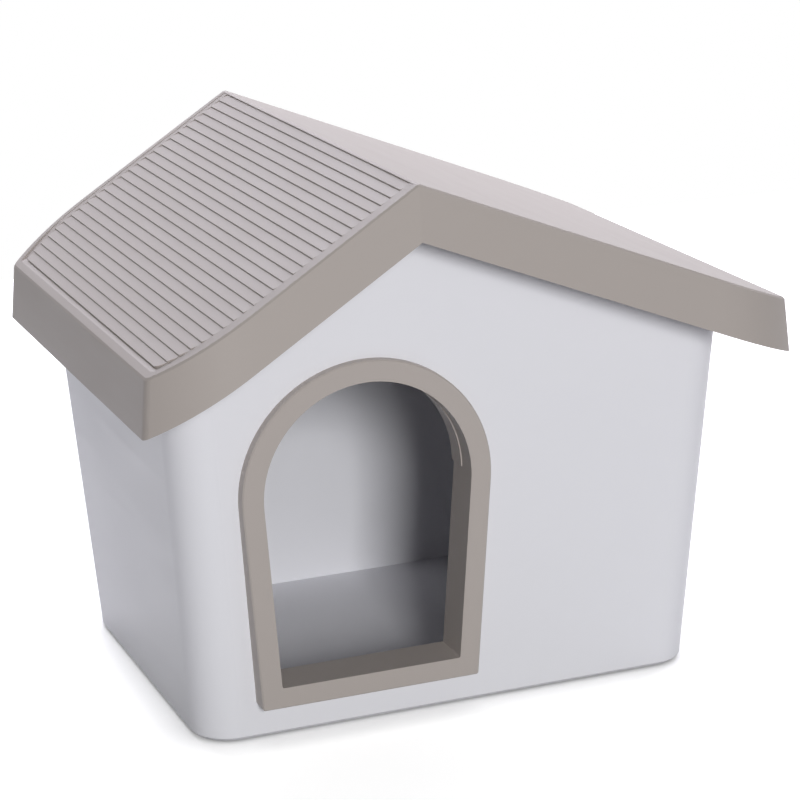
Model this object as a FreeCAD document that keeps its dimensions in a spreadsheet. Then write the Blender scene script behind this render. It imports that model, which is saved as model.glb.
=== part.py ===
import FreeCAD, Part
import os
import re
import Sketcher
from math import atan2, sqrt
from FreeCAD import Placement, Rotation, Vector

# A plastic dog house, in millimetres. +Z is up, the door faces -Y, and the origin lies on the
# ground under the middle of the roof. The ridge runs along Y, nearer to the left eave than to
# the right one, so the left slope is short and steep and the right slope is long and shallow.
# Both eaves are equally high. The white tub has a floor and four walls that lean outwards.

DIMENSIONS = [
    # The roof: height, overhangs and skirt.
    ("ridge_rise", 145, "ridge above the eaves"),
    ("eave_height", 353, "eave edges above the ground"),
    ("left_overhang", 47.5, "tub's base to the left eave, level"),
    ("right_overhang", 65.5, "tub's base to the right eave, level"),
    ("gable_overhang", 79.25, "tub's base to the roof's front or back edge, level"),
    ("skirt_drop", 48, "upright depth of the skirt"),
    ("skirt_flare", 4.8, "how far the skirt's foot stands outside its top"),
    ("roof_wall", 3.5, "thickness of the skirt"),
    ("roof_skin", 4.2, "upright thickness of the slopes"),
    ("sweep_run", 80, "length of the curve at each end of the front and back edges"),
    ("sweep_pull", 33, "how far that curve draws the corner in"),
    ("corner_round", 12, "radius of the upright skirt corners"),
    ("edge_bevel", 1.5, "bevel along the roof's top edges"),
    # The boards moulded on the left slope, and the recess that they lie in.
    ("board_pitch", 10.25, "board to board, down the slope"),
    ("board_start", 2.5, "ridge to the first board's root"),
    ("board_step", 1.3, "step at each board's lower edge"),
    ("board_edge", 0.5, "bevel of each board's lower edge"),
    ("board_bed", 1, "thickness of the boards under their roots"),
    ("board_margin", 16, "front and back edges to the boards' ends"),
    ("eave_margin", 13, "least distance from the last board to the eave"),
    ("field_round", 10, "corner radius of the field of boards"),
    ("rim_width", 8, "flat rim outside the recess"),
    ("recess_depth", 0.5, "recess round the boards"),
    ("trough_run", 50, "length over which the recess deepens to the trough"),
    ("trough_depth", 2, "depth of the trough below the last board"),
    # What the roof has underneath.
    ("ring_fit", 1, "locating ring to the tub's walls"),
    ("ring_wall", 2.5, "thickness of the ring and the ribs"),
    ("ring_depth", 12, "ring below the roof's underside"),
    ("rib_depth", 9, "ribs below the roof's underside"),
    ("rib_spacing", 85, "cross rib to cross rib"),
    ("seat_gap", 0.3, "roof's underside to the tub's rim"),
    # The tub.
    ("tub_width", 479, "across the base"),
    ("tub_depth", 353.5, "front to back at the base"),
    ("tub_shift", 57, "ridge to the middle of the tub"),
    ("tub_draft", 3.87, "degrees that the walls lean out"),
    ("tub_corner", 36.5, "radius of the upright corners"),
    ("tub_wall", 3.2, "thickness of the walls"),
    ("tub_floor", 3.2, "thickness of the floor"),
    ("base_bevel", 3, "bevel round the base"),
    ("brim_width", 6, "brim outside the walls, under the roof"),
    ("brim_thick", 3, "upright thickness of the brim"),
    # The feet.
    ("foot_stand", 2, "base above the ground"),
    ("foot_socket", 1.2, "depth of a foot's socket in the base"),
    ("foot_radius", 16, "radius of a foot"),
    ("foot_inset", 48, "base's edge to a foot's middle"),
    ("foot_fit", 0.2, "gap round a foot in its socket"),
    # The door frame, in a plane that leans less than the wall does.
    ("door_shift", -31.5, "ridge to the middle of the door"),
    ("frame_foot", 35, "foot of the frame above the ground"),
    ("frame_proud", 20, "face in front of the wall, at the frame's foot"),
    ("lean_less", 2.27, "degrees that the face leans out less than the wall does"),
    ("arch_height", 191, "frame's foot to the arch's centre"),
    ("arch_radius", 95.4, "inner radius of the arch"),
    ("leg_taper", 4, "degrees that each leg closes in downwards"),
    ("face_width", 19, "width of the frame's face"),
    ("face_thick", 3, "thickness of the frame's face and outer wall"),
    ("face_round", 2, "radius of the frame's lower corners"),
    ("face_bevel", 1.2, "bevel round the face's outer edge"),
    ("sleeve_wall", 3.5, "thickness of the tunnel through the wall"),
    ("tunnel_depth", 40, "length of the tunnel, from the face"),
    ("door_fit", 0.5, "gap round the tunnel in the wall"),
    # The arched strip in the back of the tunnel.
    ("strip_start", 21, "face to the strip's front edge"),
    ("strip_seat", 1.5, "depth of the rebate that holds the strip"),
    ("strip_proud", 1, "strip inside the tunnel's surface"),
    ("strip_lip", 2, "thickness of the lip behind the tunnel"),
    ("strip_gap", 0.8, "gap under each end of the strip"),
    ("strip_fit", 0.1, "strip to its rebate"),
    # The frame's screws, driven from the cabin.
    ("boss_half", 3.8, "half the width of a square screw boss"),
    ("screw_radius", 1.8, "radius of a screw's shank"),
    ("screw_length", 9, "length of a screw under its head"),
    ("screw_head", 3.8, "radius of a screw's head"),
    ("screw_rise", 2.4, "height of a screw's head"),
    ("screw_fit", 0.15, "gap round a shank"),
    ("sill_screw", 50, "middle of the door to a sill screw"),
    ("leg_screw", 110, "frame's foot to a leg screw"),
    ("arch_screw", 45, "degrees from the level to an arch screw"),
    # The vent in the back wall.
    ("vent_drop", 148, "ridge to the middle of the vent"),
    ("vent_width", 130, "across the vent's flange"),
    ("vent_tall", 58, "height of the vent's flange"),
    ("vent_corner", 9, "corner radius of the flange"),
    ("vent_flange", 2.2, "thickness of the flange"),
    ("vent_border", 7, "flange's edge to the window"),
    ("vent_spigot", 2.4, "wall of the spigot behind the flange"),
    ("vent_reach", 8, "spigot behind the flange"),
    ("slat_front", 0.3, "flange's face to the slats' front edges"),
    ("slat_back", 2, "slats' back edges to the spigot's end"),
    ("vent_fit", 0.4, "gap round the spigot"),
    ("slat_pitch", 7.4, "slat to slat"),
    ("slat_thick", 1.8, "thickness of a slat"),
    ("slat_angle", 40, "degrees that a slat tips"),
    # The drain plug in the floor.
    ("drain_radius", 12, "radius of the drain hole"),
    ("drain_inset", 105, "base's right and back edges to the drain"),
    ("plug_lip", 5, "plug's flange outside the drain hole"),
    ("plug_flange_thick", 2.2, "thickness of the plug's flange"),
    ("plug_fit", 0.3, "gap round and under the plug"),
]

doc = FreeCAD.newDocument("DogHouse")
sheet = doc.addObject("Spreadsheet::Sheet", "Dims")
for row, (alias, size, note) in enumerate(DIMENSIONS, start=1):
    sheet.set(f"A{row}", note)
    sheet.set(f"B{row}", str(size))
    sheet.setAlias(f"B{row}", alias)
doc.recompute()

X, Y, Z = Vector(1, 0, 0), Vector(0, 1, 0), Vector(0, 0, 1)
LEFT, RIGHT = -1, 1
OVERRUN = "20"  # how far a cutting shape runs past what it cuts
TOUCH = 0.5  # an edge whose middle is nearer to a surface than this lies on it


# ---- Reading and binding the sheet ----
def on_sheet(text):
    """The expression with every alias, which is any word with an underscore, read from Dims."""
    return re.sub(r"\b([a-z]+(?:_[a-z]+)+)\b", r"Dims.\1", str(text))


def value(text):
    """The number that an expression gives."""
    result = sheet.evalExpression(on_sheet(text))
    return float(getattr(result, "Value", result))


def bind(thing, name, text):
    """Tie a property to an expression on the sheet."""
    thing.setExpression(name, on_sheet(text))


def place(thing, base, axis=Z, angle="0"):
    """Bind a sub-part's placement: where its own origin goes, and how it is turned."""
    thing.Placement = Placement(Vector(), Rotation(axis, value(angle) or 0))
    for letter, text in zip("xyz", base):
        bind(thing, f"Placement.Base.{letter}", text)
    if angle != "0":
        bind(thing, "Placement.Rotation.Angle", angle)


# ---- Sketches ----
def new_body(name):
    body = doc.addObject("PartDesign::Body", name)
    body.Label = name
    return body


def new_sketch(body, name, role, base=("0", "0", "0"), turn_axis=None, turn="0"):
    """An empty sketch on one of the body's own planes, moved by base and turned there."""
    sketch = body.newObject("Sketcher::SketchObject", name)
    plane = next(each for each in body.Origin.OriginFeatures if each.Role == role)
    sketch.AttachmentSupport = (plane, [""])
    sketch.MapMode = "FlatFace"
    if turn_axis:
        sketch.AttachmentOffset = Placement(Vector(), Rotation(turn_axis, value(turn)))
        bind(sketch, "AttachmentOffset.Rotation.Angle", turn)
    for axis, text in zip("xyz", base):
        if text != "0":
            bind(sketch, f"AttachmentOffset.Base.{axis}", text)
    return sketch


def constrain(sketch, kind, *where):
    """Add a constraint whose last item is an expression, and bind it."""
    text = where[-1]
    at = sketch.addConstraint(Sketcher.Constraint(kind, *where[:-1], value(text)))
    bind(sketch, f"Constraints[{at}]", text)


def draw_outline(sketch, points, arcs=None):
    """A closed outline, drawn counter-clockwise. Points are pairs of expressions. arcs gives
    the radius of each side that is an arc, by the number of the point it starts from."""
    arcs = arcs or {}
    places = [Vector(value(x), value(y), 0) for x, y in points]
    first_side = sketch.GeometryCount
    for number, here in enumerate(places):
        there = places[(number + 1) % len(places)]
        if number in arcs:
            radius = value(arcs[number])
            chord = there - here
            inward = Vector(-chord.y, chord.x, 0).normalize()
            centre = (here + there) / 2 + inward * sqrt(radius**2 - chord.Length**2 / 4)
            angles = [atan2(end.y - centre.y, end.x - centre.x) for end in (here, there)]
            side = Part.ArcOfCircle(Part.Circle(centre, Z, radius), *angles)
        else:
            side = Part.LineSegment(here, there)
        sketch.addGeometry(side, False)
    for number, (x, y) in enumerate(points):
        side = first_side + number
        following = first_side + (number + 1) % len(points)
        sketch.addConstraint(Sketcher.Constraint("Coincident", side, 2, following, 1))
        constrain(sketch, "DistanceX", -1, 1, side, 1, x)
        constrain(sketch, "DistanceY", -1, 1, side, 1, y)
        if number in arcs:
            constrain(sketch, "Radius", side, arcs[number])
    return sketch


def rectangle(half_wide, half_deep, middle=("0", "0")):
    """The corners of a rectangle about a middle point, for draw_outline."""
    left, right = f"({middle[0]} - {half_wide})", f"({middle[0]} + {half_wide})"
    front, back = f"({middle[1]} - {half_deep})", f"({middle[1]} + {half_deep})"
    return [(left, front), (right, front), (right, back), (left, back)]


def draw_circle(sketch, x, y, radius):
    circle = Part.Circle(Vector(value(x), value(y), 0), Z, value(radius))
    side = sketch.addGeometry(circle, False)
    constrain(sketch, "DistanceX", -1, 1, side, 3, x)
    constrain(sketch, "DistanceY", -1, 1, side, 3, y)
    constrain(sketch, "Radius", side, radius)
    return sketch


# ---- Features ----
def feature(body, kind, name, profile, **settings):
    made = body.newObject(f"PartDesign::{kind}", name)
    made.Profile = profile
    for setting, content in settings.items():
        if isinstance(content, str) and setting in ("Length", "Length2", "Angle", "TaperAngle"):
            bind(made, setting, content)
        else:
            setattr(made, setting, content)
    return made


def loft(body, name, sections, cut=False):
    kind = "SubtractiveLoft" if cut else "AdditiveLoft"
    return feature(body, kind, name, sections[0], Sections=sections[1:], Ruled=True)


def draft(body, name, block, angle):
    """Lean a pad's upright sides outwards from its foot."""
    doc.recompute()
    faces = {f"Face{number}": face for number, face in enumerate(block.Shape.Faces, start=1)}
    sides = [face_name for face_name, face in faces.items() if abs(face.normalAt(0, 0).z) < 0.5]
    foot = min(faces, key=lambda face_name: faces[face_name].CenterOfMass.z)
    made = body.newObject("PartDesign::Draft", name)
    made.Base = (block, sides)
    made.NeutralPlane = (block, [foot])
    made.Reversed = True
    bind(made, "Angle", angle)
    body.Tip = made
    return made


def upright(middle, along):
    """The test for edges that stand up, for round_edges and bevel_edges."""
    return abs(along.z) > 0.9


def dress_edges(body, kind, name, size_name, size, test):
    """Fillet or chamfer the edges whose middle point and direction pass the test."""
    doc.recompute()
    base = body.Tip
    edges = []
    for number, edge in enumerate(body.Shape.Edges, start=1):
        half_way = (edge.FirstParameter + edge.LastParameter) / 2
        if test(edge.valueAt(half_way), edge.tangentAt(half_way)):
            edges.append(f"Edge{number}")
    made = body.newObject(f"PartDesign::{kind}", name)
    made.Base = (base, edges)
    bind(made, size_name, size)
    body.Tip = made
    return made


def round_edges(body, name, radius, test):
    return dress_edges(body, "Fillet", name, "Radius", radius, test)


def bevel_edges(body, name, size, test):
    return dress_edges(body, "Chamfer", name, "Size", size, test)


def pattern(body, name, original, axis, pitch, count):
    """Repeat a feature in a line along one of the body's own axes."""
    made = body.newObject("PartDesign::LinearPattern", name)
    made.Originals = [original]
    line = next(each for each in body.Origin.OriginFeatures if each.Role == axis)
    made.Direction = (line, [""])
    made.Mode = "Spacing"
    bind(made, "Offset", pitch)
    made.Occurrences = count
    body.Tip = made
    return made


def fuse(name, shapes):
    made = doc.addObject("Part::MultiFuse", name)
    made.Shapes = shapes
    made.Refine = True
    return made


def common(name, shapes):
    made = doc.addObject("Part::MultiCommon", name)
    made.Shapes = shapes
    return made


def cut(name, base, tool):
    made = doc.addObject("Part::Cut", name)
    made.Base = base
    made.Tool = tool
    made.Refine = True
    return made


# ---- Where the tub's walls and the roof's slopes run ----
def tub_half(size, height, inset):
    """Half the tub's width or depth at a height, less an inset."""
    return f"({size} / 2 + ({height} - foot_stand) * tan(tub_draft) - {inset})"


TUB_X = "((left_overhang - right_overhang) / 2)"
RIDGE_X = f"({TUB_X} - tub_shift)"
RIDGE_Z = "(eave_height + ridge_rise)"
RUN = {
    LEFT: "(tub_width / 2 - tub_shift + left_overhang)",
    RIGHT: "(tub_width / 2 + tub_shift + right_overhang)",
}
ROOF_HALF_DEPTH = "(tub_depth / 2 + gable_overhang)"
SLOPE = {side: f"atan(ridge_rise / {run})" for side, run in RUN.items()}
SLOPE_LENGTH = f"sqrt({RUN[LEFT]}^2 + ridge_rise^2)"
BOARD_COUNT = int(value(f"({SLOPE_LENGTH} - board_start - eave_margin) / board_pitch"))
LAST_BOARD = f"(board_start + {BOARD_COUNT} * board_pitch)"


def roof_section(body, name, side, drop, spread, eave_spread=None):
    """The roof's plan outline on one side of the ridge, in a plane parallel to that slope and
    an upright drop below it, grown outwards by spread. The front and back edges curve in
    towards the eave."""
    base = (RIDGE_X, "0", f"{RIDGE_Z} - {drop}")
    sketch = new_sketch(body, name, "XY_Plane", base, Y, f"{side} * {SLOPE[side]}")
    stretch = f"cos({SLOPE[side]})"
    eave_spread = eave_spread or f"({spread} / {stretch})"
    half = f"({ROOF_HALF_DEPTH} + {spread})"
    run = f"(sweep_run / {stretch} + {eave_spread})"
    radius = f"(((sweep_run / {stretch})^2 + sweep_pull^2) / (2 * sweep_pull) + {spread})"
    pull = f"({radius} - sqrt({radius}^2 - {run}^2))"
    start = f"({side} * ({RUN[side]} - sweep_run) / {stretch})"
    eave = f"({side} * ({RUN[side]} / {stretch} + {eave_spread}))"
    front_edge = [("0", f"-{half}"), (start, f"-{half}"), (eave, f"-{half} + {pull}")]
    back_edge = [(eave, f"{half} - {pull}"), (start, half), ("0", half)]
    points = front_edge + back_edge
    if side == LEFT:
        points = [(x, y) for x, y in reversed(points)]
    return draw_outline(sketch, points, {1: radius, 3: radius})


def gable_points(drop, far_level):
    """The roof's two slopes, lowered by an upright drop, as a closed outline that ends at a
    far level above or below them."""
    ends = {}
    for side in (LEFT, RIGHT):
        reach = f"({RUN[side]} + {OVERRUN})"
        x = f"({RIDGE_X} + {side} * {reach})"
        ends[side] = (x, f"({RIDGE_Z} - {drop} - {reach} * ridge_rise / {RUN[side]})")
    slopes = [ends[LEFT], (RIDGE_X, f"({RIDGE_Z} - {drop})"), ends[RIGHT]]
    corners = [(ends[RIGHT][0], far_level), (ends[LEFT][0], far_level)]
    points = slopes + corners
    if value(far_level) < value(ends[RIGHT][1]):
        points.reverse()
    return points


def trim_gable(body, name, drop, far_level):
    """Cut away what lies beyond the lowered slopes, towards the far level."""
    sketch = new_sketch(body, f"{name}_outline", "XZ_Plane")
    draw_outline(sketch, gable_points(drop, far_level))
    return feature(body, "Pocket", name, sketch, Type="ThroughAll", Midplane=True)


ABOVE = f"({RIDGE_Z} + {OVERRUN})"
BELOW = f"(0 - {OVERRUN})"
SKIRT_FOOT = "(eave_height - skirt_drop)"
IN_SKIN = "(roof_skin / 2)"  # what joins the slopes from below ends half-way up their skin


def tub_block(name, bottom, inset):
    """A solid block as wide and deep as the tub less an inset, from a level up to the ridge,
    with its sides drafted and its upright corners rounded."""
    body = new_body(name)
    outline = new_sketch(body, f"{name}_outline", "XY_Plane", (TUB_X, "0", bottom))
    wide = tub_half("tub_width", bottom, inset)
    deep = tub_half("tub_depth", bottom, inset)
    draw_outline(outline, rectangle(wide, deep))
    block = feature(body, "Pad", f"{name}_block", outline, Length=f"({RIDGE_Z} - {bottom})")
    draft(body, f"{name}_draft", block, "tub_draft")
    round_edges(body, f"{name}_corners", f"(tub_corner - {inset})", upright)
    return body


# ---- Roof ----
def roof_core():
    """Two sheared slabs that meet at the ridge, with rounded corners and bevelled top edges,
    hollowed from below."""
    body = new_body("roof_core")
    for side, word in ((LEFT, "left"), (RIGHT, "right")):
        top = roof_section(body, f"top_{word}", side, "0", "0")
        foot = roof_section(body, f"foot_{word}", side, "skirt_drop", "skirt_flare")
        loft(body, f"slab_{word}", [top, foot])
    ridge = value(RIDGE_X)
    eaves = [ridge + side * value(RUN[side]) for side in (LEFT, RIGHT)]

    def skirt_corner(middle, along):
        return upright(middle, along) and not eaves[0] < middle.x < eaves[1]

    def on_slopes(middle, along):
        run = value(RUN[LEFT if middle.x < ridge else RIGHT])
        surface = value(RIDGE_Z) - abs(middle.x - ridge) * value("ridge_rise") / run
        return abs(middle.z - surface) < TOUCH

    round_edges(body, "skirt_corners", "corner_round", skirt_corner)
    bevel_edges(body, "top_edges", "edge_bevel", on_slopes)
    for side, word in ((LEFT, "left"), (RIGHT, "right")):
        inner = "(roof_skin * skirt_flare / skirt_drop - roof_wall)"
        foot_spread = "(skirt_flare - roof_wall)"
        top = roof_section(body, f"hollow_top_{word}", side, "roof_skin", inner)
        foot = roof_section(body, f"hollow_foot_{word}", side, "skirt_drop", foot_spread)
        loft(body, f"hollow_{word}", [top, foot], cut=True)
    return body


def slope_prism(name, spread, eave_spread, corner):
    """An upright-sided block over the left slope, as wide as the roof's outline grown by
    spread, with its two eave corners rounded."""
    body = new_body(name)
    outline = roof_section(body, f"{name}_outline", LEFT, "0", spread, eave_spread)
    feature(body, "Pad", f"{name}_block", outline, Length=OVERRUN, Midplane=True)
    eave = value(f"{RIDGE_X} - ({SLOPE_LENGTH} + {eave_spread}) * cos({SLOPE[LEFT]})")
    near_eave = eave + value("sweep_run") / 2

    def eave_corner(middle, along):
        steep = abs(along.z) > sqrt(along.x**2 + along.y**2)
        return steep and middle.x < near_eave

    round_edges(body, f"{name}_corners", corner, eave_corner)
    return body


def slope_profile(name, points):
    """A block with one profile all along Y. Points are (distance down the left slope, height
    above its surface)."""
    body = new_body(name)
    top = (RIDGE_X, RIDGE_Z, "0")
    sketch = new_sketch(body, f"{name}_outline", "XZ_Plane", top, Z, SLOPE[LEFT])
    draw_outline(sketch, [(f"-{down}", up) for down, up in points])
    feature(body, "Pad", f"{name}_block", sketch, Length=f"(2 * {ROOF_HALF_DEPTH})", Midplane=True)
    return body


def boards():
    """Clapboards that each stand proud at their bevelled lower edge, cut to a rounded field."""
    bed = "(0 - board_step - board_bed)"
    bevel_top = "(0 - board_edge * board_step / board_pitch)"
    points = [("board_start", bed)]
    for number in range(BOARD_COUNT):
        upper = f"(board_start + {number} * board_pitch)"
        lower = f"(board_start + {number + 1} * board_pitch)"
        bevel = [(f"({lower} - board_edge)", bevel_top), (lower, "(0 - board_edge)")]
        points += [(upper, "(0 - board_step)"), *bevel]
    points.append((LAST_BOARD, bed))
    steps = slope_profile("board_steps", points)
    to_eave = f"({LAST_BOARD} - {SLOPE_LENGTH})"
    field = slope_prism("board_field", "(0 - board_margin)", to_eave, "field_round")
    return common("boards", [steps, field])


def board_recess():
    """What is cut from the left slope before the boards go in: a shallow recess inside the
    flat rim, deeper towards the trough under the last board, and a bed under the boards."""
    shallow, deep = "(0 - recess_depth)", "(0 - trough_depth)"
    rim = f"({SLOPE_LENGTH} - rim_width)"
    floor = [
        ("board_start", OVERRUN), ("board_start", shallow),
        (f"({LAST_BOARD} - trough_run)", shallow), (LAST_BOARD, deep),
        (rim, shallow), (rim, OVERRUN),
    ]
    profile = slope_profile("recess_floor", floor)
    outline = slope_prism("recess_outline", "(0 - rim_width)", "(0 - rim_width)", "field_round")
    recess = common("recess", [profile, outline])
    to_eave = f"({LAST_BOARD} - {SLOPE_LENGTH})"
    bed_points = [
        ("board_start", OVERRUN), ("board_start", "(0 - board_step)"),
        (LAST_BOARD, "(0 - board_step)"), (LAST_BOARD, OVERRUN),
    ]
    bed_profile = slope_profile("bed_floor", bed_points)
    bed_outline = slope_prism("bed_outline", "(0 - board_margin)", to_eave, "field_round")
    bed = common("board_bed", [bed_profile, bed_outline])
    return fuse("recess_cut", [recess, bed])


def locating_ring():
    """A ring under the roof that drops just inside the tub's walls."""
    outside = tub_block("ring_outside", SKIRT_FOOT, "(tub_wall + ring_fit)")
    inside = tub_block("ring_inside", SKIRT_FOOT, "(tub_wall + ring_fit + ring_wall)")
    trim_gable(outside, "ring_top", IN_SKIN, ABOVE)
    trim_gable(outside, "ring_foot", "(roof_skin + ring_depth)", BELOW)
    return cut("locating_ring", outside, inside)


def roof_ribs():
    """Three ribs across the roof's underside and one along the ridge, inside the ring."""
    block = tub_block("rib_block", SKIRT_FOOT, "(tub_wall + ring_fit + ring_wall / 2)")
    trim_gable(block, "rib_top", IN_SKIN, ABOVE)
    trim_gable(block, "rib_foot", "(roof_skin + rib_depth)", BELOW)
    planks = new_body("rib_planks")
    for number, word in ((-1, "front"), (0, "middle"), (1, "rear")):
        base = ("0", f"{number} * rib_spacing", "0")
        sketch = new_sketch(planks, f"{word}_outline", "XY_Plane", base)
        draw_outline(sketch, rectangle(f"({RUN[LEFT]} + {RUN[RIGHT]})", "(ring_wall / 2)"))
        feature(planks, "Pad", f"{word}_plank", sketch, Length=ABOVE)
    sketch = new_sketch(planks, "ridge_outline", "XY_Plane", (RIDGE_X, "0", "0"))
    draw_outline(sketch, rectangle("(ring_wall / 2)", tub_half("tub_depth", RIDGE_Z, "0")))
    feature(planks, "Pad", "ridge_plank", sketch, Length=ABOVE)
    return common("ribs", [block, planks])


def roof_shell():
    plain = cut("roof_recessed", roof_core(), board_recess())
    return fuse("roof_shell", [plain, boards(), locating_ring(), roof_ribs()])


# ---- Door frame ----
DOOR_X = f"({RIDGE_X} + door_shift)"
OUTER_RADIUS = "(arch_radius + face_width)"
FRAME_LEAN = "(tub_draft - lean_less)"


def arch_outline(sketch, inset):
    """The frame's outer outline, moved inwards by inset: a level foot, two legs that close in
    downwards, and an arch that the legs run into. The sketch's origin is at the foot."""
    radius = f"({OUTER_RADIUS} - {inset})"
    side = f"({radius} * cos(leg_taper))"
    turn = f"(arch_height - {radius} * sin(leg_taper))"
    foot = f"({side} - ({turn} - {inset}) * tan(leg_taper))"
    points = [
        (f"-{foot}", inset), (foot, inset), (side, turn),
        ("0", f"(arch_height + {radius})"), (f"-{side}", turn),
    ]
    return draw_outline(sketch, points, {2: radius, 3: radius})


def stand_in_door(thing):
    """Local X runs across the door, local Y up its face and local Z out of it."""
    wall = tub_half("tub_depth", "frame_foot", "0")
    place(thing, (DOOR_X, f"-({wall} + frame_proud)", "frame_foot"), X, f"(90 + {FRAME_LEAN})")


def screw_spots():
    """Where the frame's screws go: expressions for across and up, and the face's distance in
    front of the wall there."""
    middle = f"({OUTER_RADIUS} - (face_thick + face_width - sleeve_wall) / 2)"
    sill = "((face_thick + face_width - sleeve_wall) / 2)"
    turn = f"(arch_height - {middle} * sin(leg_taper))"
    leg = f"({middle} * cos(leg_taper) - ({turn} - leg_screw) * tan(leg_taper))"
    across = f"({middle} * cos(arch_screw))"
    high = f"(arch_height + {middle} * sin(arch_screw))"
    return [("sill_screw", sill), (leg, "leg_screw"), (across, high)]


def wall_depth(up):
    """How far behind the frame's face the wall's outer surface is, at a height up the face."""
    return f"(frame_proud * cos(tub_draft) / cos(lean_less) - {up} * tan(lean_less))"


def frame_surround():
    """The frame's block and the doorway through it, with rounded lower corners and a bevel
    round the face's outer edge."""
    body = new_body("door_frame")
    half_up = value("arch_height") / 2

    def lower_corner(middle, along):
        return upright(middle, along) and middle.y < half_up

    def sill_corner(middle, along):
        return lower_corner(middle, along) and middle.y > value("face_width") / 2

    outside = new_sketch(body, "face_outline", "XY_Plane")
    arch_outline(outside, "0")
    feature(body, "Pad", "surround", outside, Length="tunnel_depth", Reversed=True)
    round_edges(body, "foot_corners", "face_round", lower_corner)
    bevel_edges(body, "face_edge", "face_bevel", lambda middle, along: abs(middle.z) < TOUCH)
    doorway = new_sketch(body, "doorway_outline", "XY_Plane")
    arch_outline(doorway, "face_width")
    feature(body, "Pocket", "doorway", doorway, Type="ThroughAll")
    round_edges(body, "sill_corners", "face_round", sill_corner)
    return body


def hollow_frame(body):
    """Hollow the frame from behind, leaving its face, its outer wall and the tunnel's wall."""
    hollow = new_sketch(body, "hollow_outline", "XY_Plane", ("0", "0", "-face_thick"))
    arch_outline(hollow, "face_thick")
    arch_outline(hollow, "(face_width - sleeve_wall)")
    feature(body, "Pocket", "hollow", hollow, Type="ThroughAll")


def add_bosses(body):
    """Square bosses in the hollow, one for each screw."""
    for level, (across, up) in enumerate(screw_spots()):
        in_face = ("0", "0", "(0 - face_thick / 2)")
        bosses = new_sketch(body, f"boss_outline_{level}", "XY_Plane", in_face)
        for side in (LEFT, RIGHT):
            middle = (f"{side} * {across}", up)
            draw_outline(bosses, rectangle("boss_half", "boss_half", middle))
        feature(body, "Pad", f"bosses_{level}", bosses, Length="frame_proud", Reversed=True)


def seat_on_wall(body):
    """Cut away what would stand in the leaning wall, down to the wall's outer surface."""
    behind = new_sketch(body, "behind_wall", "YZ_Plane")
    top = f"(arch_height + {OUTER_RADIUS} + {OVERRUN})"
    low = f"(0 - {OVERRUN})"
    far = f"(0 - tunnel_depth - {OVERRUN})"
    near = [(top, f"-{wall_depth(top)}"), (low, f"-{wall_depth(low)}")]
    draw_outline(behind, [(low, far), (top, far), *near])
    feature(body, "Pocket", "wall_side", behind, Type="ThroughAll", Midplane=True)


def drill_pilots(body):
    for level, (across, up) in enumerate(screw_spots()):
        behind_face = ("0", "0", "(0 - face_thick)")
        pilots = new_sketch(body, f"pilot_outline_{level}", "XY_Plane", behind_face)
        for side in (LEFT, RIGHT):
            draw_circle(pilots, f"{side} * {across}", up, "(screw_radius + screw_fit)")
        feature(body, "Pocket", f"pilots_{level}", pilots, Length=wall_depth(up))


def add_tunnel(body):
    """The tunnel through the wall, rebated round the arch at its back end for the strip."""
    in_face = ("0", "0", "(0 - face_thick / 2)")
    sleeve = new_sketch(body, "sleeve_outline", "XY_Plane", in_face)
    arch_outline(sleeve, "(face_width - sleeve_wall)")
    arch_outline(sleeve, "face_width")
    length = "(tunnel_depth - face_thick / 2)"
    feature(body, "Pad", "sleeve", sleeve, Length=length, Reversed=True)
    rebate = new_sketch(body, "rebate_outline", "XY_Plane", ("0", "arch_height", "-strip_start"))
    radius = "(arch_radius + strip_seat)"
    foot = [(f"-{radius}", "-strip_gap"), (radius, "-strip_gap")]
    draw_outline(rebate, [*foot, (radius, "0"), ("0", radius), (f"-{radius}", "0")],
                 {2: radius, 3: radius})
    feature(body, "Pocket", "rebate", rebate, Type="ThroughAll")


def door_frame():
    body = frame_surround()
    hollow_frame(body)
    add_bosses(body)
    seat_on_wall(body)
    drill_pilots(body)
    add_tunnel(body)
    stand_in_door(body)
    return body


def face_point(up):
    """Where a point up the middle of the frame's face is."""
    wall = tub_half("tub_depth", "frame_foot", "0")
    front = f"-({wall} + frame_proud + {up} * sin({FRAME_LEAN}))"
    return DOOR_X, front, f"(frame_foot + {up} * cos({FRAME_LEAN}))"


def arch_strip():
    """Half a turn of an L: a band in the tunnel's rebate, and a lip behind the tunnel."""
    body = new_body("arch_strip")
    section = new_sketch(body, "strip_section", "XZ_Plane")
    inner, outer = "(arch_radius - strip_proud)", "(arch_radius + strip_seat - strip_fit)"
    lip = "(arch_radius + sleeve_wall)"
    front, back = "(0 - strip_start - strip_fit)", "(0 - tunnel_depth)"
    end = "(0 - tunnel_depth - strip_lip)"
    points = [(inner, end), (lip, end), (lip, back), (outer, back), (outer, front), (inner, front)]
    draw_outline(section, points)
    axis = (section, ["V_Axis"])
    feature(body, "Revolution", "half_turn", section, ReferenceAxis=axis, Angle="180")
    place(body, face_point("arch_height"), X, f"(90 + {FRAME_LEAN})")
    return body


def cylinder(name, radius, height, spot):
    made = doc.addObject("Part::Cylinder", name)
    bind(made, "Radius", radius)
    bind(made, "Height", height)
    place(made, spot)
    return made


def in_door_frame(name, solids):
    """Solids laid out in the door frame's own axes, put where the frame is."""
    group = doc.addObject("Part::Compound", name)
    group.Links = solids
    stand_in_door(group)
    return group


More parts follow.
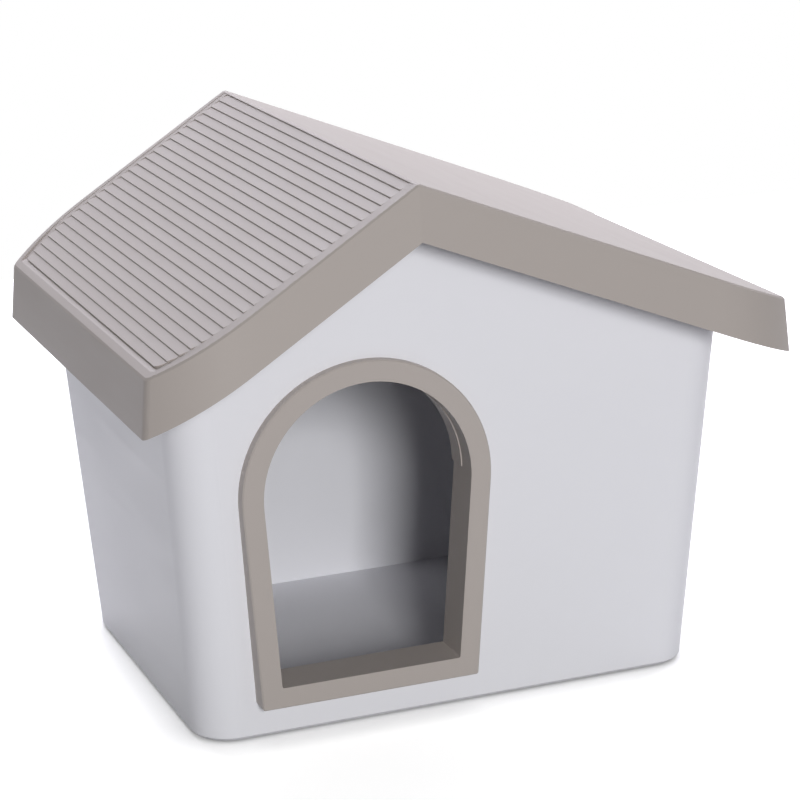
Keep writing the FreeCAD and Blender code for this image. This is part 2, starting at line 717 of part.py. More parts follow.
def door_screws():
    """Pan-head screws from the cabin, through the wall, into the bosses behind the face. The
    wall leans more than the screws do, so each head meets it at one edge."""
    screws = []
    wall = "((tub_wall * cos(tub_draft) + screw_head * sin(lean_less)) / cos(lean_less))"
    for level, (across, up) in enumerate(screw_spots()):
        seat = f"(0 - {wall_depth(up)} - {wall})"
        for side, word in ((LEFT, "left"), (RIGHT, "right")):
            tag = f"{word}_{level}"
            middle = f"({side} * {across})"
            shank = cylinder(f"shank_{tag}", "screw_radius", "screw_length", (middle, up, seat))
            behind = (middle, up, f"({seat} - screw_rise)")
            head = cylinder(f"head_{tag}", "screw_head", "screw_rise", behind)
            screws.append(fuse(f"screw_{tag}", [shank, head]))
    return in_door_frame("door_frame_screws", screws)


def screw_holes():
    """The clearance holes that the screws pass in the tub's front wall."""
    holes = []
    for level, (across, up) in enumerate(screw_spots()):
        start = f"(0 - {wall_depth(up)} - 2 * tub_wall)"
        for side, word in ((LEFT, "left"), (RIGHT, "right")):
            spot = (f"({side} * {across})", up, start)
            radius = "(screw_radius + screw_fit)"
            holes.append(cylinder(f"hole_{word}_{level}", radius, "(3 * tub_wall)", spot))
    return in_door_frame("screw_holes", holes)


def door_opening():
    body = new_body("door_opening")
    outline = new_sketch(body, "opening_outline", "XY_Plane")
    arch_outline(outline, "(face_width - sleeve_wall - door_fit)")
    feature(body, "Pad", "opening", outline, Length="tunnel_depth", Reversed=True)
    stand_in_door(body)
    return body


# ---- Vent in the back wall ----
VENT_HEIGHT = f"({RIDGE_Z} - vent_drop)"


def round_rectangle(sketch, wide, tall, radius):
    right, left = f"({wide} / 2)", f"(0 - {wide} / 2)"
    top, low = f"({tall} / 2)", f"(0 - {tall} / 2)"
    points = [
        (f"{left} + {radius}", low), (f"{right} - {radius}", low),
        (right, f"{low} + {radius}"), (right, f"{top} - {radius}"),
        (f"{right} - {radius}", top), (f"{left} + {radius}", top),
        (left, f"{top} - {radius}"), (left, f"{low} + {radius}"),
    ]
    return draw_outline(sketch, points, {1: radius, 3: radius, 5: radius, 7: radius})


def stand_in_back_wall(thing):
    """Local X runs across the back wall, local Y up it and local Z into the cabin."""
    back = tub_half("tub_depth", VENT_HEIGHT, "0")
    place(thing, (RIDGE_X, back, VENT_HEIGHT), X, "(90 - tub_draft)")


def vent_outline(sketch, inset):
    sizes = f"(vent_width - 2 * {inset})", f"(vent_tall - 2 * {inset})"
    return round_rectangle(sketch, *sizes, f"(vent_corner - {inset})")


def vent_grille():
    body = new_body("vent_grille")
    flange = new_sketch(body, "flange_outline", "XY_Plane")
    vent_outline(flange, "0")
    feature(body, "Pad", "flange", flange, Length="vent_flange", Reversed=True)
    spigot = new_sketch(body, "spigot_outline", "XY_Plane")
    vent_outline(spigot, "(vent_border - vent_spigot)")
    feature(body, "Pad", "spigot", spigot, Length="vent_reach")
    window = new_sketch(body, "window_outline", "XY_Plane")
    vent_outline(window, "vent_border")
    feature(body, "Pocket", "window", window, Type="ThroughAll", Midplane=True)
    count = int(value("(vent_tall - 2 * vent_border) / slat_pitch"))
    lowest = f"(0 - {count - 1} / 2 * slat_pitch)"
    outer, inner = "(slat_front - vent_flange)", "(vent_reach - slat_back)"
    rise = f"(({inner} - {outer}) * tan(slat_angle) / 2)"
    thick = "(slat_thick / cos(slat_angle) / 2)"
    slat = new_sketch(body, "slat_section", "YZ_Plane")
    draw_outline(slat, [
        (f"{lowest} - {rise} - {thick}", outer), (f"{lowest} - {rise} + {thick}", outer),
        (f"{lowest} + {rise} + {thick}", inner), (f"{lowest} + {rise} - {thick}", inner),
    ])
    span = "(vent_width - 2 * vent_border + vent_spigot)"
    slats = feature(body, "Pad", "slat", slat, Length=span, Midplane=True)
    pattern(body, "slats", slats, "Y_Axis", "slat_pitch", count)
    stand_in_back_wall(body)
    return body


def vent_opening():
    body = new_body("vent_opening")
    outline = new_sketch(body, "vent_hole_outline", "XY_Plane")
    vent_outline(outline, "(vent_border - vent_spigot - vent_fit)")
    feature(body, "Pad", "vent_hole", outline, Length=OVERRUN, Midplane=True)
    stand_in_back_wall(body)
    return body


# ---- Tub ----
FLOOR_TOP = "(foot_stand + tub_floor)"
DRAIN_X = f"({TUB_X} + tub_width / 2 - drain_inset)"
DRAIN_Y = "(tub_depth / 2 - drain_inset)"


def foot_spot(side, end):
    """The middle of a foot: side is LEFT or RIGHT, end is -1 in front and 1 behind."""
    across = f"({TUB_X} + {side} * (tub_width / 2 - foot_inset))"
    return across, f"({end} * (tub_depth / 2 - foot_inset))"


def plain_tub():
    """Brim, walls and floor, before the door and the vent are cut."""
    under_roof = "(roof_skin + seat_gap)"
    brim = tub_block("brim", SKIRT_FOOT, "(0 - brim_width)")
    trim_gable(brim, "brim_foot", f"({under_roof} + brim_thick)", BELOW)
    trim_gable(brim, "brim_top", under_roof, ABOVE)
    outside = tub_block("outside", "foot_stand", "0")
    base = value("foot_stand")
    bevel_edges(outside, "base_edge", "base_bevel", lambda middle, along: abs(middle.z - base) < TOUCH)
    trim_gable(outside, "gable", under_roof, ABOVE)
    sockets = new_sketch(outside, "socket_outline", "XY_Plane", ("0", "0", "foot_stand"))
    for side in (LEFT, RIGHT):
        for end in (-1, 1):
            draw_circle(sockets, *foot_spot(side, end), "(foot_radius + foot_fit)")
    feature(outside, "Pocket", "sockets", sockets, Length="foot_socket", Reversed=True)
    drain = new_sketch(outside, "drain_outline", "XY_Plane")
    draw_circle(drain, DRAIN_X, DRAIN_Y, "drain_radius")
    feature(outside, "Pocket", "drain", drain, Type="ThroughAll", Midplane=True)
    inside = tub_block("inside", FLOOR_TOP, "tub_wall")
    return cut("plain_tub", fuse("tub_outside", [outside, brim]), inside)


def body_shell():
    with_door = cut("tub_with_door", plain_tub(), door_opening())
    with_vent = cut("tub_with_vent", with_door, vent_opening())
    return cut("body_shell", with_vent, screw_holes())


# ---- Small parts of the base ----
def disc(body, name, level, radius, thick):
    outline = new_sketch(body, f"{name}_outline", "XY_Plane", ("0", "0", level))
    draw_circle(outline, "0", "0", radius)
    return feature(body, "Pad", name, outline, Length=thick)


def foot(name, side, end):
    """A rubber pad pressed into a socket under the base."""
    body = new_body(name)
    disc(body, f"{name}_pad", "0", "foot_radius", "(foot_stand + foot_socket)")
    place(body, (*foot_spot(side, end), "0"))
    return body


def drain_plug():
    """A rubber bung: a stem in the drain hole and a flange on the floor."""
    body = new_body("drain_plug")
    seat = "(tub_floor + plug_fit)"
    disc(body, "stem", "0", "(drain_radius - plug_fit)", seat)
    disc(body, "flange", seat, "(drain_radius + plug_lip)", "plug_flange_thick")
    place(body, (DRAIN_X, DRAIN_Y, "foot_stand"))
    return body


# ---- Build, test and write ----
parts = [body_shell(), roof_shell(), door_frame(), door_screws(), arch_strip(), vent_grille(), drain_plug()]
for side, side_word in ((LEFT, "left"), (RIGHT, "right")):
    for end, end_word in ((-1, "front"), (1, "rear")):
        parts.append(foot(f"foot_{end_word}_{side_word}", side, end))
doc.recompute()

failed = [thing.Name for thing in doc.Objects if {"Invalid", "Error"} & set(thing.State)]
if failed:
    raise RuntimeError(f"these objects did not build: {failed}")
for part in parts:
    if part.Shape.isNull() or not part.Shape.isValid():
        raise RuntimeError(f"{part.Label} has no valid shape")
    solids = 2 * len(screw_spots()) if part.Label == "door_frame_screws" else 1
    if len(part.Shape.Solids) != solids:
        raise RuntimeError(f"{part.Label} is {len(part.Shape.Solids)} solids, not {solids}")

os.makedirs("parts", exist_ok=True)
for part in parts:
    part.Shape.exportStep(f"parts/{part.Label}.step")
    box = part.Shape.BoundBox
    print(f"{part.Label:20} solids {len(part.Shape.Solids)} volume {part.Shape.Volume:10.0f}"
          f"  x {box.XMin:7.1f} {box.XMax:7.1f}  y {box.YMin:7.1f} {box.YMax:7.1f}"
          f"  z {box.ZMin:6.1f} {box.ZMax:6.1f}")
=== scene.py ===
# %% [markdown]
# # A plastic dog house
#
# The real object is a small kennel in two big mouldings: a white tub that leans outwards as it
# rises, and a taupe roof that drops over it like a lid. The door frame, the vent grille, the feet
# and a few fasteners are separate pieces. Their shapes come with the frame, so this lesson gives
# them their finish, makes the small things that the frame only blocks out, and sets up the
# camera and the studio.

# %% Load the frame
import math

import bpy
from mathutils import Matrix, Vector


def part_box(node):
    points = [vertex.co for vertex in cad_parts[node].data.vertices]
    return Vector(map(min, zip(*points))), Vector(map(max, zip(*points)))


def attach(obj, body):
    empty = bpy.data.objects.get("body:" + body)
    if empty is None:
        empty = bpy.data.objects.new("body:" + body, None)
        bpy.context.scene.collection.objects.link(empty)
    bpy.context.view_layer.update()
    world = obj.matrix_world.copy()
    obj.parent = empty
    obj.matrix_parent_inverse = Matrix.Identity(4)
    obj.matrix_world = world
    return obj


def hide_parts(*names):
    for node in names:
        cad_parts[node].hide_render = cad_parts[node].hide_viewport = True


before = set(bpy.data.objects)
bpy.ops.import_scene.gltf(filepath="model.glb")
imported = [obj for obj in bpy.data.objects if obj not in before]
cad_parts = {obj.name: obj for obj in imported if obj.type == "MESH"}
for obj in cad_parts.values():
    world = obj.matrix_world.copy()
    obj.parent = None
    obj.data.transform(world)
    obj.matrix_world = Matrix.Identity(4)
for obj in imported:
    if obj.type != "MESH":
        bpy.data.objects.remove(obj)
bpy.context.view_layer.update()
scene = bpy.context.scene
print("nodes:", ", ".join(sorted(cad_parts)))

MM = 0.001

# %% [markdown]
# ## The camera
#
# The straight edges of the roof and of the door give the photograph's viewpoint: where they
# meet in the distance fixes the lens, and their places fix where the camera stood. It stands
# to the left of the door, a little above the ridge, with a long lens and a slight roll.

# %% Camera
CAMERA_PLACE = Vector((-0.8525, -2.2102, 0.9386))
CAMERA_YAW = math.radians(21.378)
CAMERA_PITCH = math.radians(16.488)
CAMERA_ROLL = math.radians(1.419)
CAMERA_LENS = 118.52

forward = Vector((
    math.sin(CAMERA_YAW) * math.cos(CAMERA_PITCH),
    math.cos(CAMERA_YAW) * math.cos(CAMERA_PITCH),
    -math.sin(CAMERA_PITCH),
))
level_right = Vector((math.cos(CAMERA_YAW), -math.sin(CAMERA_YAW), 0))
level_down = forward.cross(level_right)
right = math.cos(CAMERA_ROLL) * level_right + math.sin(CAMERA_ROLL) * level_down
down = math.cos(CAMERA_ROLL) * level_down - math.sin(CAMERA_ROLL) * level_right

camera_data = bpy.data.cameras.new("camera")
camera_data.sensor_width = 36
camera_data.lens = CAMERA_LENS
camera_data.clip_start = 0.05
camera_data.clip_end = 100
camera = bpy.data.objects.new("camera", camera_data)
scene.collection.objects.link(camera)
camera.matrix_world = Matrix((right, -down, -forward)).transposed().to_4x4()
camera.location = CAMERA_PLACE
scene.camera = camera
print("camera at", [round(part, 2) for part in CAMERA_PLACE], "with a lens of", CAMERA_LENS)

# %% [markdown]
# ## Shader maths as plain sums
#
# A finish is a small calculation at each point of a surface. Wiring that from single nodes hides
# the idea, so a Socket stands for a value in the node tree, and a sum or a product of Sockets
# adds the Math node that works it out. Finish.add makes every other kind of node.

# %% A finish and its sockets
class Socket:
    """A value in a finish. + - and * on it add Math nodes."""

    def __init__(self, finish, output):
        self.finish, self.output = finish, output

    def maths(self, operation, *values):
        return self.finish.add("ShaderNodeMath", {"operation": operation}, dict(enumerate(values)))

    def __add__(self, other):
        return self.maths("ADD", self, other)

    def __radd__(self, other):
        return self.maths("ADD", other, self)

    def __sub__(self, other):
        return self.maths("SUBTRACT", self, other)

    def __mul__(self, other):
        return self.maths("MULTIPLY", self, other)

    def __rmul__(self, other):
        return self.maths("MULTIPLY", other, self)


class Finish:
    """A material made from one Principled shader."""

    def __init__(self, name):
        self.material = bpy.data.materials.new(name)
        self.material.use_nodes = True
        self.tree = self.material.node_tree
        self.shader = self.tree.nodes["Principled BSDF"]

    def add(self, kind, settings=None, inputs=None, output=0):
        node = self.tree.nodes.new(kind)
        for setting, content in (settings or {}).items():
            if setting == "stops":
                set_stops(node.color_ramp, content)
            else:
                setattr(node, setting, content)
        for where, content in (inputs or {}).items():
            self.connect(node.inputs[where], content)
        return Socket(self, node.outputs[output])

    def connect(self, socket, content):
        if isinstance(content, Socket):
            self.tree.links.new(content.output, socket)
        else:
            socket.default_value = content

    def set(self, **sockets):
        """Set or link the shader's own sockets, named in lower case with underscores."""
        names = {each.name.lower().replace(" ", "_"): each for each in self.shader.inputs}
        for name, content in sockets.items():
            self.connect(names[name], content)
        return self.material


def set_stops(ramp, stops):
    """Give a colour ramp its stops: pairs of place and grey level."""
    while len(ramp.elements) < len(stops):
        ramp.elements.new(1)
    for element, (place, level) in zip(ramp.elements, stops):
        element.position = place
        element.color = (level, level, level, 1)


def paint(red, green, blue):
    """A colour written as it looks on a screen, from 0 to 255, for a shader's linear socket."""
    def linear(level):
        share = level / 255
        return share / 12.92 if share <= 0.04045 else ((share + 0.055) / 1.055) ** 2.4
    return (linear(red), linear(green), linear(blue), 1)


# %% [markdown]
# ## Moulded plastic
#
# Both mouldings are polypropylene from a spark-eroded mould: satin, slightly uneven in gloss
# where the melt flowed, with a grain finer than a millimetre that only shows close up. A broad
# noise tints the colour by a percent or two, a middle one changes the roughness, and a fine
# one raises the grain through a Bump node. A stretched one adds the faint streaks that the
# melt leaves. All of them read Object coordinates, so the pattern stays on the piece. The sheen
# is low, most of all on the roof, whose left skirt would otherwise mirror the white room.

# %% Plastic finishes
CLOUD_SIZE, FLOW_SIZE = 160 * MM, 30 * MM
FLOW_STREAK = (1, 0.25, 2.5)
PEBBLES_TO_GRAIN = 3.2
FLOW_GLOSS, GRAIN_GLOSS = 0.12, 0.08


def plastic(name, colour, gloss, grain_size, grain_height, tint, sheen):
    finish = Finish(name)
    place = finish.add("ShaderNodeTexCoord", output="Object")
    streaked = finish.add("ShaderNodeMapping", {}, {"Vector": place, "Scale": FLOW_STREAK})

    def noise(size, detail=2, where=place):
        return finish.add("ShaderNodeTexNoise", {}, {
            "Vector": where, "Scale": 1 / size, "Detail": detail, "Roughness": 0.55,
        })

    cloud, flow = noise(CLOUD_SIZE, 3), noise(FLOW_SIZE, 2, streaked)
    pebbles, grain = noise(PEBBLES_TO_GRAIN * grain_size), noise(grain_size, 3)
    darker = tuple(part * (1 - tint) for part in colour[:3]) + (1,)
    lighter = tuple(min(1, part * (1 + tint)) for part in colour[:3]) + (1,)
    base = finish.add("ShaderNodeMix", {"data_type": "RGBA"}, {
        "Factor": 0.5 * cloud + 0.2 * flow + 0.15 * pebbles + 0.15 * grain, 6: darker, 7: lighter,
    }, output=2)
    bump = finish.add("ShaderNodeBump", {}, {
        "Height": 0.6 * grain + 0.4 * pebbles, "Strength": 1, "Distance": grain_height,
    })
    return finish.set(
        base_color=base,
        roughness=gloss + FLOW_GLOSS * (flow - 0.5) + GRAIN_GLOSS * (grain - 0.5),
        specular_ior_level=sheen,
        normal=bump,
    )


TUB_WHITE = paint(236, 236, 241)
TAUPE = paint(179, 171, 166)

tub_plastic = plastic("tub_plastic", TUB_WHITE, 0.40, 0.9 * MM, 0.03 * MM, 0.02, 0.32)
roof_plastic = plastic("roof_plastic", TAUPE, 0.46, 1.0 * MM, 0.07 * MM, 0.035, 0.18)
frame_plastic = plastic("frame_plastic", TAUPE, 0.44, 0.8 * MM, 0.04 * MM, 0.03, 0.4)
print("plastics:", ", ".join(each.name for each in (tub_plastic, roof_plastic, frame_plastic)))

# %% [markdown]
# ## Rubber and steel
#
# The feet and the drain bung are soft rubber: dark, dull and slightly dusty, so a mottled noise
# lightens them in patches. The screws are zinc plated, a bright metal whose crystals reflect a
# little differently from one to the next, which a Voronoi pattern gives.

# %% Rubber and steel finishes
MOTTLE_SCALE, SPANGLE_SCALE = 240, 900
DUST_SHARE = 0.5
RUBBER_GRAIN = 0.05 * MM


def rubber(name, colour, dust):
    finish = Finish(name)
    place = finish.add("ShaderNodeTexCoord", output="Object")
    mottle = finish.add("ShaderNodeTexNoise", {}, {
        "Vector": place, "Scale": MOTTLE_SCALE, "Detail": 4,
    })
    patches = finish.add("ShaderNodeValToRGB", {"stops": [(0.45, 0), (0.75, 1)]}, {"Fac": mottle})
    base = finish.add("ShaderNodeMix", {"data_type": "RGBA"}, {
        "Factor": patches * DUST_SHARE, 6: colour, 7: dust,
    }, output=2)
    bump = finish.add("ShaderNodeBump", {}, {"Height": mottle, "Distance": RUBBER_GRAIN})
    return finish.set(base_color=base, roughness=0.72 + 0.12 * mottle, normal=bump)


def zinc(name):
    finish = Finish(name)
    place = finish.add("ShaderNodeTexCoord", output="Object")
    spangle = finish.add("ShaderNodeTexVoronoi", {}, {"Vector": place, "Scale": SPANGLE_SCALE})
    base = finish.add("ShaderNodeMix", {"data_type": "RGBA"}, {
        "Factor": spangle, 6: paint(196, 198, 202), 7: paint(222, 221, 216),
    }, output=2)
    return finish.set(base_color=base, roughness=0.28 + 0.2 * spangle, metallic=1.0)


foot_rubber = rubber("foot_rubber", paint(42, 42, 44), paint(74, 73, 72))
plug_rubber = rubber("plug_rubber", paint(96, 94, 93), paint(128, 125, 122))
screw_steel = zinc("screw_steel")
small_finishes = (foot_rubber, plug_rubber, screw_steel)
print("rubbers and steel:", ", ".join(each.name for each in small_finishes))

# %% Put the finishes on the mouldings
FINISHES = {
    "body_shell": tub_plastic,
    "roof_shell": roof_plastic,
    "door_frame": frame_plastic,
    "arch_strip": frame_plastic,
    "vent_grille": frame_plastic,
}
for name, material in FINISHES.items():
    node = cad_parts[name]
    node.data.materials.clear()
    node.data.materials.append(material)
    print(f"{name}: {len(node.data.polygons)} faces in {material.name}")

# %% [markdown]
# ## Turned pieces
#
# The screws, the bung and the feet are all round, as if made on a lathe. Each starts as a
# filled circle, which is pushed up and scaled again and again, one ring for each step of its
# profile, so the profile is a short list of radii and heights in millimetres. The first pair
# is the bottom of the piece.

# %% A turned piece
SIDES = 48
SMOOTH_BELOW = math.radians(35)


def turned(name, profile, sides=SIDES):
    """A solid of revolution about Z from (radius, height) pairs, bottom first."""
    bpy.ops.object.select_all(action="DESELECT")
    radius, height = profile[0]
    bpy.ops.mesh.primitive_circle_add(
        vertices=sides, radius=radius * MM, fill_type="NGON", location=(0, 0, height * MM))
    piece = bpy.context.object
    piece.name = name
    bpy.ops.object.mode_set(mode="EDIT")
    bpy.ops.mesh.select_all(action="SELECT")
    for next_radius, next_height in profile[1:]:
        rise = (next_height - height) * MM
        bpy.ops.mesh.extrude_region_move(TRANSFORM_OT_translate={"value": (0, 0, rise)})
        bpy.ops.transform.resize(value=(next_radius / radius, next_radius / radius, 1))
        radius, height = next_radius, next_height
    bpy.ops.mesh.select_all(action="SELECT")
    bpy.ops.mesh.normals_make_consistent(inside=False)
    bpy.ops.object.mode_set(mode="OBJECT")
    bpy.ops.object.transform_apply(location=True, rotation=True, scale=True)
    return piece


def apply_all(piece):
    """Make the piece's modifiers part of its mesh."""
    bpy.ops.object.select_all(action="DESELECT")
    piece.select_set(True)
    bpy.context.view_layer.objects.active = piece
    for modifier in list(piece.modifiers):
        bpy.ops.object.modifier_apply(modifier=modifier.name)


def join(name, pieces):
    """Several objects as one."""
    bpy.ops.object.select_all(action="DESELECT")
    for piece in pieces:
        piece.select_set(True)
    bpy.context.view_layer.objects.active = pieces[0]
    if len(pieces) > 1:
        bpy.ops.object.join()
    pieces[0].name = name
    return pieces[0]


def copy_to(piece, name, matrix, body, node, material):
    """A copy with its own mesh, set in its place, that stands for a node of the frame."""
    copy = bpy.data.objects.new(name, piece.data.copy())
    scene.collection.objects.link(copy)
    copy.data.transform(matrix)
    copy.data.materials.clear()
    copy.data.materials.append(material)
    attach(copy, body)
    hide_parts(node)
    return copy


def remove(piece):
    bpy.data.objects.remove(piece, do_unlink=True)


# %% [markdown]
# ## The screws
#
# Six pan-head screws hold the door frame from inside the cabin, so they show once the roof is
# lifted. The head is turned, with a crown that flattens towards the middle. The cross recess
# is cut by two tapered bars with a Boolean modifier, as a punch makes it. The thread is one
# triangle that the Screw modifier winds up the shank, then closed at both ends.

# %% Model one screw
HEAD_RADIUS, HEAD_RISE = 3.8, 2.4
CORE_RADIUS, THREAD_RADIUS, SHANK = 1.3, 1.8, 9
THREAD_PITCH, THREAD_TURNS = 1.1, 6
THREAD_SUNK, THREAD_FOOT, THREAD_START, THREAD_STEPS = 0.1, 0.42, 0.3, 20
POINT_LENGTH, POINT_RADIUS, CORE_SIDES = 1.6, 0.25, 24
RECESS_LONG, RECESS_WIDE, RECESS_DEEP = 4.4, 0.95, 1.5
RECESS_TAPER = (0.45, 0.6, 1)


def recess_bar(turn):
    """One bar of the cross, across the crown's middle, narrower at its inner end."""
    bpy.ops.object.select_all(action="DESELECT")
    bpy.ops.mesh.primitive_cube_add(size=1, location=(0, 0, 0))
    bar = bpy.context.object
    bpy.ops.object.mode_set(mode="EDIT")
    bpy.ops.mesh.select_all(action="SELECT")
    bpy.ops.transform.resize(value=(RECESS_LONG * MM, RECESS_WIDE * MM, 2 * RECESS_DEEP * MM))
    bpy.ops.object.mode_set(mode="OBJECT")
    for face in bar.data.polygons:
        face.select = face.normal.z > 0.5
    bpy.ops.object.mode_set(mode="EDIT")
    bpy.ops.mesh.select_mode(type="FACE")
    bpy.ops.transform.resize(value=RECESS_TAPER)
    bpy.ops.object.mode_set(mode="OBJECT")
    bar.data.transform(Matrix.Rotation(turn, 4, "Z"))
    bar.data.transform(Matrix.Translation((0, 0, -HEAD_RISE * MM)))
    return bar


def screw_head():
    """The head, whose crown points down, with its cross recess. The wall is at z = 0."""
    crown = [(1.4, -HEAD_RISE), (2.6, -2.25), (3.3, -1.85), (3.7, -1.25), (HEAD_RADIUS, -0.5)]
    head = turned("head", crown + [(HEAD_RADIUS, -0.1), (3.7, 0)])
    for bar in (recess_bar(0), recess_bar(math.radians(90))):
        cut = head.modifiers.new("recess", "BOOLEAN")
        cut.operation = "DIFFERENCE"
        cut.object = bar
        apply_all(head)
        remove(bar)
    return head


def screw_thread():
    """A triangle on the shank's side, wound upwards and closed at its two ends."""
    bpy.ops.object.select_all(action="DESELECT")
    bpy.ops.mesh.primitive_circle_add(vertices=3, radius=1, fill_type="NOTHING")
    thread = bpy.context.object
    inside = (CORE_RADIUS - THREAD_SUNK) * MM
    half_foot = THREAD_FOOT * THREAD_PITCH * MM
    corners = ((inside, -half_foot), (THREAD_RADIUS * MM, 0), (inside, half_foot))
    for corner, (out, up) in zip(thread.data.vertices, corners):
        corner.co = (out, 0, up + (THREAD_PITCH + THREAD_START) * MM)
    wind = thread.modifiers.new("wind", "SCREW")
    wind.axis = "Z"
    wind.screw_offset = THREAD_PITCH * MM
    wind.iterations = THREAD_TURNS
    wind.steps = wind.render_steps = THREAD_STEPS
    apply_all(thread)
    bpy.ops.object.mode_set(mode="EDIT")
    bpy.ops.mesh.select_all(action="DESELECT")
    bpy.ops.mesh.select_mode(type="VERT")
    bpy.ops.mesh.select_non_manifold()
    bpy.ops.mesh.fill()
    bpy.ops.mesh.select_all(action="SELECT")
    bpy.ops.mesh.normals_make_consistent(inside=False)
    bpy.ops.object.mode_set(mode="OBJECT")
    return thread


core_profile = [(CORE_RADIUS, -0.1), (CORE_RADIUS, SHANK - POINT_LENGTH), (POINT_RADIUS, SHANK)]
core = turned("core", core_profile, CORE_SIDES)
screw = join("screw", [screw_head(), core, screw_thread()])
bpy.ops.object.shade_smooth_by_angle(angle=SMOOTH_BELOW)
print("one screw:", len(screw.data.polygons), "faces")

# %% [markdown]
# ## Where the screws go
#
# The frame already has six plain screws. Their vertices fall into six clusters, and the middle
# of each cluster's head is the middle of a screw. The door frame's face leans a little, and
# the screws are square to it, so their direction is that of the frame's largest front face.

# %% Put six copies in their places
FACES_FRONT = -0.99
CLUSTER_REACH, SEAT_BAND = 20 * MM, 0.1 * MM

door_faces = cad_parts["door_frame"].data.polygons
fronts = [each for each in door_faces if each.normal.y < FACES_FRONT]
driven = max(fronts, key=lambda each: each.area).normal.copy()
across = Vector((1, 0, 0))
upwards = driven.cross(across)
stand = Matrix((across, upwards, driven)).transposed().to_4x4()
print("the screws lean by", round(math.degrees(math.asin(-driven.z)), 2), "degrees")

clusters = []
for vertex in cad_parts["door_frame_screws"].data.vertices:
    near = next(
        (each for each in clusters if (each[0] - vertex.co).length < CLUSTER_REACH), None)
    if near is None:
        clusters.append([vertex.co.copy()])
    else:
        near.append(vertex.co.copy())

for number, points in enumerate(clusters, start=1):
    tip = max(point.dot(driven) for point in points)
    seat = tip - SHANK * MM
    ring = [point for point in points if point.dot(driven) < seat + SEAT_BAND]
    middle = sum(ring, Vector()) / len(ring)
    seated = middle + driven * (seat - middle.dot(driven))
    copy_to(screw, f"door_screw_{number}", Matrix.Translation(seated) @ stand,
            "house", "door_frame_screws", screw_steel)
remove(screw)
print("screws:", len(clusters))

# %% [markdown]
# ## The feet
#
# Each foot is a rubber pad pressed into the base. Its underside has two grooves, which let it
# grip a wet floor, and its lower edge is rounded. The frame's pad is as wide, so the place
# comes from its box.

# %% Turn one foot and put it in the four sockets
FOOT_PROFILE = [
    (3, 0.5), (3.6, 0), (6.6, 0), (7.2, 0.5), (8.8, 0.5), (9.4, 0), (12.4, 0), (13, 0.5),
    (14, 0.5), (14.4, 0.05), (15, 0.1), (15.7, 0.5), (16, 1.1), (16, 3.2),
]
pad = turned("pad", FOOT_PROFILE)
bpy.ops.object.shade_smooth_by_angle(angle=SMOOTH_BELOW)
for name in sorted(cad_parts):
    if name.startswith("foot_"):
        low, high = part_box(name)
        middle = Vector(((low[0] + high[0]) / 2, (low[1] + high[1]) / 2, low[2]))
        copy_to(pad, f"{name}_pad", Matrix.Translation(middle),
                "house", name, foot_rubber)
remove(pad)
print("feet:", sum(name.startswith("foot_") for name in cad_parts))

# %% [markdown]
# ## The drain bung
#
# The bung closes the hole that lets the wash water out. It has a stem with a sealing bead, a
# flange that lies on the floor, a dished top, and a low button to pull it by.

# %% Turn the bung
FLANGE_RISE = 2.2

low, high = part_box("drain_plug")
stem_high = (high[2] - low[2]) / MM - FLANGE_RISE
BUNG_PROFILE = [
    (10.6, 0), (11.4, 0.6), (11.7, 1.2), (11.7, 2.2), (11.3, 2.6), (11.3, stem_high),
    (16.6, stem_high), (17, stem_high + 0.4), (17, stem_high + 1.5), (16.5, stem_high + 2.1),
    (15.8, stem_high + FLANGE_RISE), (13.6, stem_high + 2.1), (12.6, stem_high + 1.2),
    (6.4, stem_high + 0.9), (5.8, stem_high + 1.1), (5.4, stem_high + 1.9),
    (4.6, stem_high + 2.15), (1, stem_high + FLANGE_RISE),
]
bung = turned("bung", BUNG_PROFILE)
bpy.ops.object.shade_smooth_by_angle(angle=SMOOTH_BELOW)
spot = Vector(((low[0] + high[0]) / 2, (low[1] + high[1]) / 2, low[2]))
copy_to(bung, "drain_bung", Matrix.Translation(spot),
        "plug", "drain_plug", plug_rubber)
remove(bung)
print("the bung's stem is", round(stem_high, 1), "mm long")

# %% [markdown]
# ## The studio
#
# The photograph is a cut-out on white: the floor is pure white a finger's width from the house
# and only darkens at the tub's foot. A Light Path node tells what kind of ray arrives. The
# camera, and rays that a glossy surface sends out, see the floor with a glow of its own on top
# of its lit colour, so it reaches white. An Ambient Occlusion node takes the glow away where
# the tub stands close, which leaves the narrow soft shadow at its foot. Other rays meet a plain
# grey floor, so neither the glow nor much of the lamps' light comes back up to the left skirt,
# which is the darkest side in the photograph. The world is white in the same way.

# %% Floor and world
FLOOR_HALF = 1.6
FLOOR_SEEN = 0.90
FLOOR_GLOW = 0.66
FLOOR_BOUNCE = 0.45
CONTACT_REACH = 38 * MM
WORLD_LIGHT = 0.10


def seen_directly(tree):
    """1 for rays from the camera or from a glossy or clear surface, and 0 for all others."""
    rays = tree.nodes.new("ShaderNodeLightPath")
    seen = rays.outputs["Is Camera Ray"]
    for other in ("Is Glossy Ray", "Is Transmission Ray"):
        either = tree.nodes.new("ShaderNodeMath")
        either.operation = "MAXIMUM"
        tree.links.new(seen, either.inputs[0])
        tree.links.new(rays.outputs[other], either.inputs[1])
        seen = either.outputs[0]
    return seen


def shader(tree, kind, **sockets):
    node = tree.nodes.new(kind)
    for name, content in sockets.items():
        node.inputs[name].default_value = content
    return node.outputs[0]


def two_ways(tree, seen, otherwise, output_kind):
    """Mix two shaders by the kind of ray and send them to the output."""
    choice = tree.nodes.new("ShaderNodeMixShader")
    tree.links.new(seen_directly(tree), choice.inputs[0])
    tree.links.new(otherwise, choice.inputs[1])
    tree.links.new(seen, choice.inputs[2])
    output = tree.nodes.new(output_kind)
    tree.links.new(choice.outputs[0], output.inputs["Surface"])


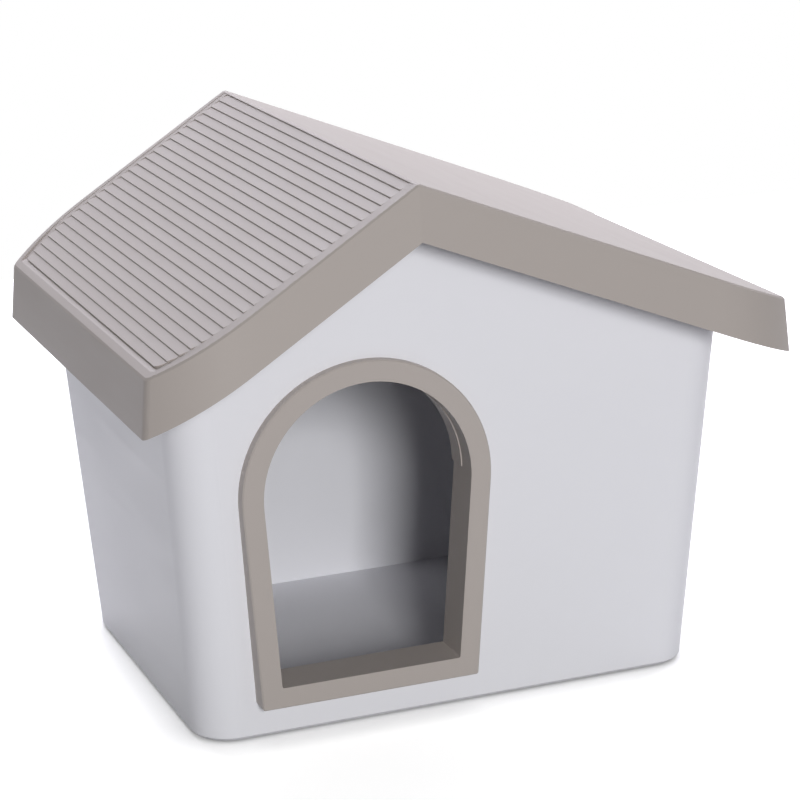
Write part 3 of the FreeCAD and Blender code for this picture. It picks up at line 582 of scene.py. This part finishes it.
def floor_finish():
    material = bpy.data.materials.new("studio_floor")
    material.use_nodes = True
    tree = material.node_tree
    tree.nodes.clear()
    lit = shader(tree, "ShaderNodeBsdfDiffuse", Color=(FLOOR_SEEN, FLOOR_SEEN, FLOOR_SEEN, 1))
    glow = shader(tree, "ShaderNodeEmission", Strength=FLOOR_GLOW)
    open_sky = tree.nodes.new("ShaderNodeAmbientOcclusion")
    open_sky.inputs["Distance"].default_value = CONTACT_REACH
    tree.links.new(open_sky.outputs["Color"], glow.node.inputs["Color"])
    both = tree.nodes.new("ShaderNodeAddShader")
    tree.links.new(lit, both.inputs[0])
    tree.links.new(glow, both.inputs[1])
    bounce = (FLOOR_BOUNCE, FLOOR_BOUNCE, FLOOR_BOUNCE, 1)
    grey = shader(tree, "ShaderNodeBsdfDiffuse", Color=bounce)
    two_ways(tree, both.outputs[0], grey, "ShaderNodeOutputMaterial")
    return material


bpy.ops.object.select_all(action="DESELECT")
bpy.ops.mesh.primitive_plane_add(size=2 * FLOOR_HALF, location=(0, 0, 0))
floor = bpy.context.object
floor.name = "studio_floor"
floor.data.materials.append(floor_finish())

world = bpy.data.worlds.new("studio")
world.use_nodes = True
world.node_tree.nodes.clear()
scene.world = world
white = shader(world.node_tree, "ShaderNodeBackground", Color=(1, 1, 1, 1), Strength=1)
soft = shader(world.node_tree, "ShaderNodeBackground", Color=(1, 1, 1, 1), Strength=WORLD_LIGHT)
two_ways(world.node_tree, white, soft, "ShaderNodeOutputWorld")
print("floor:", 2 * FLOOR_HALF, "m square; the world gives", WORLD_LIGHT, "to the house")

# %% [markdown]
# ## The lamps
#
# The light through the doorway tells where the main lamp is: it reaches the back wall on the
# left only, with a soft edge, so it is a softbox a few metres off, a little to the left
# of straight in front and about as high as the camera looks down. A weak one on the front
# right throws the soft shadow under the right-hand verge. Two wide lamps behind the roof
# brighten its slopes, a little cooler than the rest, as the slopes are in the photograph, and
# the white surroundings fill in. Each lamp is placed by its compass angle from the front,
# positive to the right, its height in degrees, and its distance.

# %% Lamps
MIDDLE = Vector((0, 0, 0.25))
COOL = (0.90, 0.89, 1.0)


def softbox(name, around, above, distance, size, power, colour=(1, 1, 1)):
    data = bpy.data.lights.new(name, "AREA")
    data.color = colour
    data.shape = "SQUARE"
    data.size = size
    data.energy = power
    lamp = bpy.data.objects.new(name, data)
    scene.collection.objects.link(lamp)
    around, above = math.radians(around), math.radians(above)
    away = Vector((
        math.sin(around) * math.cos(above), -math.cos(around) * math.cos(above), math.sin(above),
    ))
    lamp.location = MIDDLE + distance * away
    lamp.rotation_euler = away.to_track_quat("Z", "Y").to_euler()
    print(f"{name}: {power} W at {[round(part, 2) for part in lamp.location]}")


softbox("main", -11, 17, 6.0, 1.2, 204)
softbox("front_right", 24, 13, 5.0, 1.0, 7)
softbox("behind", 180, 45, 4.0, 2.5, 118, COOL)
softbox("behind_right", 125, 40, 4.0, 2.0, 84, COOL)

# %% Picture settings
scene.view_settings.view_transform = "Standard"
